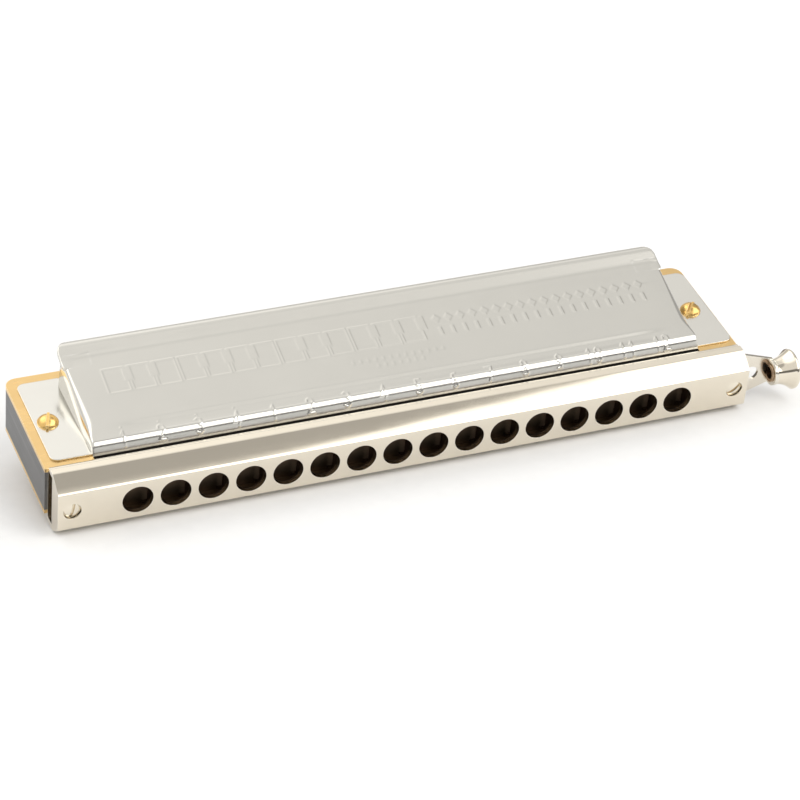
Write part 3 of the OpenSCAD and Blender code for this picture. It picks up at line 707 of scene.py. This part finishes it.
def flange(skin, side):
    """Flat end of the cover with its screw hole and softened rim."""
    hole_r, outer_r, inner_r, spacing = 2.0, 2.0, 0.3, 0.8
    x0, x1, y0, y1 = 79.4, COVER_HI.x - SHIFT, 10.9, 41.5
    centre = np.array([COVER_SCREW_X - side * SHIFT, COVER_SCREW_Y])
    rim = np.concatenate([arc((x1 - outer_r, y1 - outer_r), outer_r, 0, 90, 10),
                          arc((x0 + inner_r, y1 - inner_r), inner_r, 90, 180, 3),
                          arc((x0 + inner_r, y0 + inner_r), inner_r, 180, 270, 3),
                          arc((x1 - outer_r, y0 + outer_r), outer_r, 270, 360, 10)])
    dense = []
    for a, b in zip(rim, np.roll(rim, -1, 0)):
        count = max(1, int(np.linalg.norm(b - a) / spacing))
        dense.extend(a + (b - a) * t / count for t in range(count))
    rim = np.array(dense)
    ray = rim - centre
    ray /= np.linalg.norm(ray, axis=1, keepdims=True)
    inward = centre - rim
    inward /= np.linalg.norm(inward, axis=1, keepdims=True)
    soft, flat = 0.1, 0.3
    loops = [(centre + ray * hole_r, 0.0), (centre + ray * hole_r, SHEET - soft),
             (centre + ray * (hole_r + soft), SHEET), (centre + ray * (hole_r + flat), SHEET),
             (rim + inward * flat, SHEET), (rim + inward * soft, SHEET),
             (rim + inward * soft * 0.3, SHEET - soft * 0.3), (rim, SHEET - soft), (rim, 0.0),
             (centre + ray * hole_r, 0.0)]
    points = np.array([np.concatenate([p, np.full((len(p), 1), h)], 1) for p, h in loops])
    points[..., 0] *= side
    skin.grid(points, flip=side > 0, ring=True)


def onto_plate(skin, sign):
    """Moves a skin onto the upper plate; with sign -1 it is mirrored under the lower plate."""
    for points in skin.points:
        points += (SHIFT, 0, PLATE_TOP)
        points[:, 2] *= sign
    if sign < 0:
        skin.faces = [f[::-1] for f in skin.faces]


def cover(name, node, sign):
    """sign 1 builds the upper cover, -1 the plain lower one."""
    middle, ends = cover_surface()
    if sign > 0:
        middle = stamp(middle)
    else:
        middle = middle[:, np.unique(np.append(np.arange(0, middle.shape[1], 8), middle.shape[1] - 1))]
    skin = Skin()
    skin.grid(middle)
    for side in (1, -1):
        for patch in ends:
            patch = patch.copy()
            patch[..., 0] *= side
            skin.grid(patch, flip=side < 0)
    onto_plate(skin, sign)
    obj = skin.build(name, join=0.01)
    add_modifier(obj, "SOLIDIFY", "sheet", thickness=SHEET * MM, offset=-1, use_even_offset=False)
    place(obj, "instrument", "cover_chrome", node)
    feet = Skin()
    for side in (1, -1):
        flange(feet, side)
    onto_plate(feet, sign)
    place(feet.build(name.replace("shell", "flanges"), recalc=True), "instrument", "cover_chrome", node)


# ---------------------------------------------------------------- mouthpiece

MOUTH_HI = mm_box("mouthpiece")[1]
MOUTH_HALF = MOUTH_HI.x
LIP_Z = MOUTH_HI.z
MOUTH_BACK = MOUTH_HI.y
FACE_Z = 5.0
FACE_EDGE_R = 0.45
BEVEL_START, BEVEL_END = (0.18, 5.45), (4.7, LIP_Z)
BEVEL_BULGE = 0.2
WALL_Y, LAND_Y, POCKET_Z = 1.8, 4.9, 7.9
HOLE_R = 3.85
CELL_W, CELL_H = 7.9, 11.0
SCREW_X, SCREW_CELL_HALF = 87.4, 3.6
SCREW_HEAD_HOLE_R, SCREW_SHANK_HOLE_R, SCREW_SEAT_Y = 2.25, 1.25, 1.6
PER_SIDE = 18


def rectangle(x0, x1, z0, z1):
    """Closed loop of points (X, Z) from the lower left corner, with corners exact."""
    t = np.linspace(0, 1, PER_SIDE, endpoint=False)
    sides = [(x0 + (x1 - x0) * t, z0 + 0 * t), (x1 + 0 * t, z0 + (z1 - z0) * t),
             (x1 + (x0 - x1) * t, z1 + 0 * t), (x0 + 0 * t, z1 + (z0 - z1) * t)]
    return np.concatenate([np.stack(s, 1) for s in sides])


def circle_like(loop, centre, radius):
    """Circle whose points stand at the same angles as the loop's points."""
    ray = loop - centre
    return centre + ray / np.linalg.norm(ray, axis=1, keepdims=True) * radius


def at_depth(loop, y):
    return np.stack([loop[:, 0], np.full(len(loop), y), loop[:, 1]], 1)


def mouth_bevel():
    """Upper outline (Y, Z) from the front face over the domed bevel and lip into the pocket behind."""
    edge = arc((FACE_EDGE_R, FACE_Z), FACE_EDGE_R, 180, 130, 6)
    t = np.linspace(0, 1, 29)[1:, None]
    start, end = np.array(BEVEL_START), np.array(BEVEL_END)
    dome = start + (end - start) * t + np.array([0, BEVEL_BULGE]) * 4 * t * (1 - t)
    lip = rounded([dome[-3], dome[-1], (MOUTH_BACK, LIP_Z - 0.05), (MOUTH_BACK, POCKET_Z)], [0.25, 0.25], 4)
    return np.concatenate([edge, dome[:-3], lip, [(LAND_Y, POCKET_Z)]])


def mouth_cell(skin, x0, x1, centre, radius, depth, inner):
    """One stretch of the face round a bore: bore to depth, then a wider or narrower space to the land."""
    face = rectangle(x0, x1, -FACE_Z, FACE_Z)
    land = rectangle(x0, x1, -POCKET_Z, POCKET_Z)
    bore = circle_like(face, centre, radius)
    loops = [at_depth(face, 0), at_depth(bore, 0), at_depth(bore, depth), at_depth(inner(face), depth),
             at_depth(inner(face), LAND_Y), at_depth(land, LAND_Y)]
    skin.grid(np.array(loops), flip=True, ring=True)


def mouthpiece():
    """Face with the bores and screw holes, and the bevels and lips round it."""
    skin = Skin()
    profile = mouth_bevel()
    edges = [-MOUTH_HALF, -SCREW_X + SCREW_CELL_HALF]
    for i in range(HOLES + 1):
        edges.append(hole_x(i) - PITCH / 2)
    edges += [SCREW_X - SCREW_CELL_HALF, MOUTH_HALF]
    columns = []
    for x0, x1 in zip(edges[:-1], edges[1:]):
        columns.extend(x0 + (x1 - x0) * np.arange(PER_SIDE) / PER_SIDE)
        middle = (x0 + x1) / 2
        centre = np.array([middle, 0.0])
        if abs(middle) > SCREW_X - SCREW_CELL_HALF:
            centre = np.array([math.copysign(SCREW_X, middle), 0.0])
            mouth_cell(skin, x0, x1, centre, SCREW_HEAD_HOLE_R, SCREW_SEAT_Y,
                       lambda face: circle_like(face, centre, SCREW_SHANK_HOLE_R))
        elif abs(middle) > hole_x(HOLES - 1) + PITCH / 2:
            skin.polygon(at_depth(rectangle(x0, x1, -FACE_Z, FACE_Z), 0))
            skin.polygon(at_depth(rectangle(x0, x1, -POCKET_Z, POCKET_Z), LAND_Y), flip=True)
        else:
            cell = rectangle(middle - CELL_W / 2, middle + CELL_W / 2, -CELL_H / 2, CELL_H / 2)
            mouth_cell(skin, x0, x1, centre, HOLE_R, WALL_Y, lambda face: cell)
    columns = np.array(columns + [MOUTH_HALF])
    for sign in (1, -1):
        rows = np.zeros((len(profile), len(columns), 3))
        rows[..., 0] = columns
        rows[..., 1] = profile[:, :1]
        rows[..., 2] = profile[:, 1:] * sign
        skin.grid(rows, flip=sign < 0)
    for side in (1, -1):
        outline = np.concatenate([profile, (profile * (1, -1))[::-1]])
        side_points = np.stack([np.full(len(outline), side * MOUTH_HALF), outline[:, 0], outline[:, 1]], 1)
        skin.polygon(side_points, flip=side > 0)
    obj = skin.build("mouthpiece_body", join=0.004, recalc=True)
    bevel(obj, 0.16, 3, 34)
    place(obj, "instrument", "mouthpiece_nickel", "mouthpiece")


# ---------------------------------------------------------------- button


def spin_x(skin, profile, x0, y, segments=96):
    """Turns a line of (distance along X, radius) round an axis parallel to X."""
    a = np.linspace(0, 2 * np.pi, segments, endpoint=False)
    rows = np.zeros((len(profile), segments, 3))
    rows[..., 0] = x0 + profile[:, :1]
    rows[..., 1] = y + profile[:, 1:] * np.cos(a)
    rows[..., 2] = profile[:, 1:] * np.sin(a)
    skin.grid(rows, ring=True)


BUTTON_NECK_R, BUTTON_BORE_R, BUTTON_BORE_DEPTH = 3.3, 2.0, 4.0
FLARE_SHARE, FLARE_POWER = 0.76, 2.2
RIM_R, CROWN = 0.55, 0.5


def button():
    """A flared button with a round lip, a slightly domed end and a bore for its rivet."""
    lo, hi = mm_box("button")
    axis_y = (lo.y + hi.y) / 2
    length, rim = hi.x - lo.x, (hi.z - lo.z) / 2
    t = np.linspace(0, 1, 30)[:, None]
    flare_r = BUTTON_NECK_R + (rim - BUTTON_NECK_R) * t ** FLARE_POWER
    flare = np.concatenate([t * FLARE_SHARE * length, flare_r], 1)
    flare[0] = (0.0, BUTTON_NECK_R - 0.12)
    lip = arc((length - CROWN - RIM_R, rim - RIM_R), RIM_R, 90, 8, 8)
    s = np.linspace(1, 0.001, 14)[:, None]
    crown = np.concatenate([length - CROWN * s ** 2, (rim - RIM_R) * s], 1)
    bore = [(BUTTON_BORE_DEPTH, 0.01), (BUTTON_BORE_DEPTH, BUTTON_BORE_R), (0.0, BUTTON_BORE_R)]
    profile = np.concatenate([bore, flare, lip, crown])
    skin = Skin()
    spin_x(skin, profile, lo.x, axis_y)
    obj = skin.build("button_body", recalc=True)
    bevel(obj, 0.12, 3, 40)
    place(obj, "slide_and_button", "mouthpiece_nickel", "button")


# ---------------------------------------------------------------- screws


def slotted_head(radius, edge, crown, slot_w, slot_floor):
    """Rows of points (across the slot, along it, height) over a domed head with an open slot.

    edge is the height of the head's rim, crown the dome's rise above it."""
    ball = (radius ** 2 + crown ** 2) / (2 * crown)
    outer = radius * np.sin(np.radians(np.linspace(90, 0, 15)))
    outer = outer[outer > slot_w / 2 + 0.05]
    across = [(x, False) for x in -outer] + [(-slot_w / 2, False)]
    across += [(x, True) for x in (-slot_w / 2, 0.0, slot_w / 2)]
    across += [(slot_w / 2, False)] + [(x, False) for x in outer[::-1]]
    spread = np.sin(np.radians(np.linspace(-90, 90, 31)))
    rows = []
    for x, in_slot in across:
        y = math.sqrt(max(radius ** 2 - x * x, 0)) * spread
        h = edge + np.sqrt(ball ** 2 - x * x - y * y) - (ball - crown)
        if in_slot:
            h = np.full(len(y), slot_floor)
        y, h = np.append(y[0], np.append(y, y[-1])), np.append(0, np.append(h, 0))
        rows.append(np.stack([np.full(len(y), x), y, h], 1))
    return np.array(rows)


def screws(name, node, slot, places, shape, shank):
    """Screws with slotted heads. Each place is a seat and three axes: across the slot, along it, outwards.

    shape holds slotted_head's arguments, shank is its radius and length."""
    skin = Skin()
    head = slotted_head(**shape)
    shank_r, shank_len = shank
    turn = np.radians(np.linspace(0, 360, 40, endpoint=False))
    rows = []
    for r, h in ((shape["radius"], 0.0), (shank_r, 0.0), (shank_r, -shank_len), (0.01, -shank_len)):
        rows.append(np.stack([r * np.cos(turn), r * np.sin(turn), np.full(len(turn), h)], 1))
    for seat, axes in places:
        axes = np.array(axes, float)
        skin.grid(seat + head @ axes)
        skin.grid(seat + np.array(rows) @ axes, ring=True)
    obj = skin.build(name, recalc=True)
    bevel(obj, 0.07, 2, 35)
    place(obj, "instrument", slot, node)


def cover_screws(node, sign):
    """The two brass screws of one cover, with their slots turned differently."""
    seat_z = (PLATE_TOP + SHEET) * sign
    places = []
    for x, angle in ((-COVER_SCREW_X, -19), (COVER_SCREW_X, -42)):
        c, s = math.cos(math.radians(angle)), math.sin(math.radians(angle))
        places.append(((x, COVER_SCREW_Y, seat_z), ((c, s, 0), (-s, c, 0), (0, 0, sign))))
    shape = {"radius": 2.65, "edge": 0.3, "crown": 1.65, "slot_w": 0.7, "slot_floor": 1.0}
    screws(node + "_pair", node, "screw_brass", places, shape, (1.15, 6.4))


def mouthpiece_screws():
    """The two nickel screws sunk in the mouthpiece's face."""
    places = []
    for x, angle in ((-SCREW_X, 15), (SCREW_X, 53)):
        c, s = math.cos(math.radians(angle)), math.sin(math.radians(angle))
        places.append(((x, SCREW_SEAT_Y - 0.05, 0), ((c, 0, -s), (s, 0, c), (0, -1, 0))))
    shape = {"radius": 2.03, "edge": 1.0, "crown": 0.5, "slot_w": 0.75, "slot_floor": 0.35}
    screws("mouthpiece_screw_pair", "mouthpiece_screws", "mouthpiece_nickel", places, shape, (1.15, 14.4))


# ---------------------------------------------------------------- camera, light and floor


# The camera's place (degrees and millimetres) and its lens on a 36 mm sensor
CAMERA_AZIMUTH, CAMERA_ELEVATION, CAMERA_ROLL = -25.14, 37.507, 5.806
CAMERA_TARGET, CAMERA_DISTANCE, CAMERA_LENS = (3.309, 19.035, 0), 787.22, 142.02


def add_camera():
    """Stands at the left front and above, slightly rolled."""
    azimuth, elevation, roll = np.radians([CAMERA_AZIMUTH, CAMERA_ELEVATION, CAMERA_ROLL]).tolist()
    back = Vector((math.sin(azimuth) * math.cos(elevation), -math.cos(azimuth) * math.cos(elevation),
                   math.sin(elevation)))
    level = Vector((math.cos(azimuth), math.sin(azimuth), 0))
    right = level * math.cos(roll) + back.cross(level) * math.sin(roll)
    up = back.cross(right)
    target = Vector(CAMERA_TARGET) * MM
    data = bpy.data.cameras.new("camera")
    data.lens = CAMERA_LENS
    data.sensor_width = 36
    data.clip_start, data.clip_end = 0.01, 10
    camera = bpy.data.objects.new("camera", data)
    turn = Matrix((right, up, back)).transposed().to_4x4()
    camera.matrix_world = Matrix.Translation(target + back * CAMERA_DISTANCE * MM) @ turn
    bpy.context.scene.collection.objects.link(camera)
    bpy.context.scene.camera = camera


KEY_POSITION, KEY_SIZE, KEY_POWER, KEY_COLOUR = (0.6, -0.9, 1.5), (1.2, 1.0), 12, (1.0, 0.99, 0.97)


def add_key_light():
    """A large soft light in metres, aimed at the origin and left out of reflections."""
    data = bpy.data.lights.new("key", "AREA")
    data.shape = "RECTANGLE"
    data.size, data.size_y = KEY_SIZE
    data.energy = KEY_POWER
    data.color = KEY_COLOUR
    light = bpy.data.objects.new("key", data)
    light.visible_glossy = False
    light.location = KEY_POSITION
    light.rotation_euler = (-Vector(KEY_POSITION)).to_track_quat("-Z", "Y").to_euler()
    bpy.context.scene.collection.objects.link(light)


class Sky(Nodes):
    """Brightness of the surroundings, summed from soft-edged patches."""

    def __init__(self, world):
        world.use_nodes = True
        super().__init__(world.node_tree)
        self.direction = self.node("TexCoord").outputs["Generated"]
        self.total = None

    def beyond(self, normal, start, end):
        """0 where direction . normal is under start, 1 where it is over end."""
        dot = self.node("VectorMath")
        dot.operation = "DOT_PRODUCT"
        self.link(self.direction, dot.inputs[0])
        self.link(Vector(normal).normalized(), dot.inputs[1])
        edge = self.node("MapRange")
        edge.interpolation_type = "SMOOTHSTEP"
        self.link(dot.outputs["Value"], edge.inputs["Value"])
        edge.inputs["From Min"].default_value = start
        edge.inputs["From Max"].default_value = end
        return edge.outputs[0]

    def patch(self, direction, inner, outer, gain):
        """A round patch, full inside inner degrees and gone at outer degrees."""
        mask = self.beyond(direction, math.cos(math.radians(outer)), math.cos(math.radians(inner)))
        self.add(mask, gain)

    def over(self, angle, soft):
        """1 for directions more than angle degrees up from the front horizon, going over the top."""
        a = math.radians(angle)
        s = math.sin(math.radians(soft))
        return self.beyond((0, math.sin(a), math.cos(a)), -s, s)

    def under(self, angle, soft):
        """1 for directions less than angle degrees up from the front horizon."""
        a = math.radians(angle)
        s = math.sin(math.radians(soft))
        return self.beyond((0, -math.sin(a), -math.cos(a)), -s, s)

    def add(self, mask, gain):
        term = self.math("MULTIPLY", mask, gain)
        self.total = term if self.total is None else self.math("ADD", self.total, term)


# Brightness between the patches, seen in reflections, and the even light on everything
SKY_BASE, SKY_DIFFUSE = 0.9, 1.03


def add_world():
    """A pale room: a softbox over the front, dimmer bands and horizons, brighter spots at the back."""
    world = bpy.data.worlds.new("surroundings")
    bpy.context.scene.world = world
    sky = Sky(world)
    # Shade beside the softbox, seen in the left half of the mouthpiece's bevel
    dim = sky.beyond((0.22, -0.12, 0.97), math.cos(math.radians(26)), math.cos(math.radians(15)))
    sky.add(sky.math("MULTIPLY", dim, sky.under(93, 3)), -0.4)
    # The softbox and the dark strip under it
    box = sky.beyond((0.908, -0.1145, -0.402), -0.008, 0.008)
    box = sky.math("MULTIPLY", box, sky.under(96, 4))
    sky.add(sky.math("MULTIPLY", box, sky.over(31, 1.2)), 1.5)
    sky.add(sky.math("MULTIPLY", sky.over(14, 1.5), sky.under(31, 1.2)), -0.72)
    # Shade at the left front, low down
    left = sky.beyond((-1, 0, 0), -0.345, -0.29)
    left = sky.math("MULTIPLY", left, sky.math("MULTIPLY", sky.over(-8, 4), sky.under(14, 1.5)))
    sky.add(left, -0.45)
    # Narrow bands that bring out the stamped relief and the valley in front of the hood
    sky.add(sky.math("MULTIPLY", sky.over(96, 2), sky.under(103, 2)), 0.06)
    sky.add(sky.math("MULTIPLY", sky.over(104, 1.5), sky.under(109, 1.5)), -0.14)
    sky.add(sky.math("MULTIPLY", sky.over(122, 3), sky.under(132, 3)), -0.13)
    # The cover darkens a little to the right
    right = sky.math("MULTIPLY", sky.beyond((1, 0, 0), 0.22, 0.46), sky.over(92, 4))
    sky.add(right, -0.11)
    sky.add(sky.over(92, 4), 0.05)
    sky.add(sky.math("MULTIPLY", sky.beyond((1, 0, 0), 0.5, 0.6), sky.over(92, 4)), -0.3)
    # Bright spots for the left end wall and the hood's roll, and a dimmer back horizon
    sky.patch((-0.4, 0.72, 0.57), 12, 24, 0.85)
    sky.add(sky.math("MULTIPLY", sky.over(164, 5), sky.under(181, 3)), -0.3)
    sky.patch((-0.5, 0.35, 0.79), 12, 34, 0.7)
    sky.patch((0.05, 0.8, 0.6), 8, 28, 0.3)
    background = sky.tree.nodes["Background"]
    background.inputs["Color"].default_value = (1.0, 0.985, 0.955, 1)
    mirrored = sky.math("MAXIMUM", sky.math("ADD", sky.total, SKY_BASE), 0.05)
    diffuse = sky.node("LightPath").outputs["Is Diffuse Ray"]
    even = sky.math("MULTIPLY", diffuse, SKY_DIFFUSE)
    rest = sky.math("MULTIPLY", sky.math("SUBTRACT", 1.0, diffuse), mirrored)
    sky.tree.links.new(sky.math("ADD", even, rest), background.inputs["Strength"])


def add_floor():
    """The instrument lies on its lower lip and the lower cover's ridge, so the floor leans in this frame."""
    lip = Vector((0, BEVEL_END[0], -LIP_Z))
    hood = Vector((0, HOOD_Y, -(PLATE_TOP + HOOD_H)))
    to_hood = hood - lip
    lean = math.atan2(to_hood.z, to_hood.y) - math.asin(HOOD_R / to_hood.length)
    skin = Skin()
    half = 3000.0
    corners = [(-half, -half), (half, -half), (half, half), (-half, half)]
    c, s = math.cos(lean), math.sin(lean)
    skin.polygon([(x, lip.y + y * c, lip.z - 0.02 + y * s) for x, y in corners])
    obj = skin.build("floor")
    g = Graph("floor_paper")
    grain = g.noise(300, 3)
    paper = g.mix(g.spread(grain, 0.3, 0.7, 0, 1), (0.865, 0.87, 0.88), (0.885, 0.89, 0.9))
    g.set(color=paper, rough=0.8, spec=0.2, normal=g.bump(grain, 0.02, 0.3))
    clear = g.node("BsdfTransparent")
    both = g.node("MixShader")
    geometry = g.node("NewGeometry")
    g.link(geometry.outputs["Backfacing"], both.inputs[0])
    g.link(g.shader.outputs[0], both.inputs[1])
    g.link(clear.outputs[0], both.inputs[2])
    g.link(both.outputs[0], g.tree.nodes["Material Output"].inputs["Surface"])
    obj.data.materials.append(g.material)


# ---------------------------------------------------------------- the scene

# Each carried-over CAD node's material slot and the width of its softened edges
NODE_SLOTS = {
    "slide_channel": ("slide_nickel", 0.12),
    "slide_bed_plate": ("bed_plate_grey", 0.08),
    "slide": ("slide_nickel", 0.12),
    "button_rivet": ("rivet_bronze", 0.1),
    "slide_spring": ("spring_steel", 0.0),
    "bumper_sleeves": ("sleeve_rubber", 0.05),
    "comb": ("comb_black", 0.12),
    "upper_reed_plate": ("reed_plate_brass", 0.1),
    "lower_reed_plate": ("reed_plate_brass", 0.1),
    "upper_blow_reeds": ("reed_brass", 0.0),
    "upper_draw_reeds": ("reed_brass", 0.0),
    "lower_blow_reeds": ("reed_brass", 0.0),
    "lower_draw_reeds": ("reed_brass", 0.0),
    "upper_reed_rivets": ("rivet_steel", 0.05),
    "lower_reed_rivets": ("rivet_steel", 0.05),
    "upper_valves": ("valve_film", 0.0),
    "lower_valves": ("valve_film", 0.0),
    "upper_plate_screws": ("screw_brass", 0.1),
    "lower_plate_screws": ("screw_brass", 0.1),
}

# Nodes that share the slide's material slot but not the painted shade inside the channel
UNSHADED_NODES = ("slide_channel",)


def dress_nodes():
    """Gives each carried-over CAD node its finish and, where a width is set, softened edges."""
    for node, (slot, width) in NODE_SLOTS.items():
        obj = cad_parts[node]
        obj.data.materials.clear()
        obj.data.materials.append(MATERIALS["unshaded_nickel" if node in UNSHADED_NODES else slot])
        if width:
            clean_edges(obj, width)


dress_nodes()
cover("upper_cover_shell", "upper_cover", 1)
cover("lower_cover_shell", "lower_cover", -1)
cover_screws("upper_cover_screws", 1)
cover_screws("lower_cover_screws", -1)
mouthpiece()
mouthpiece_screws()
button()
add_floor()
add_world()
add_camera()
add_key_light()
bpy.context.scene.view_settings.view_transform = "Standard"
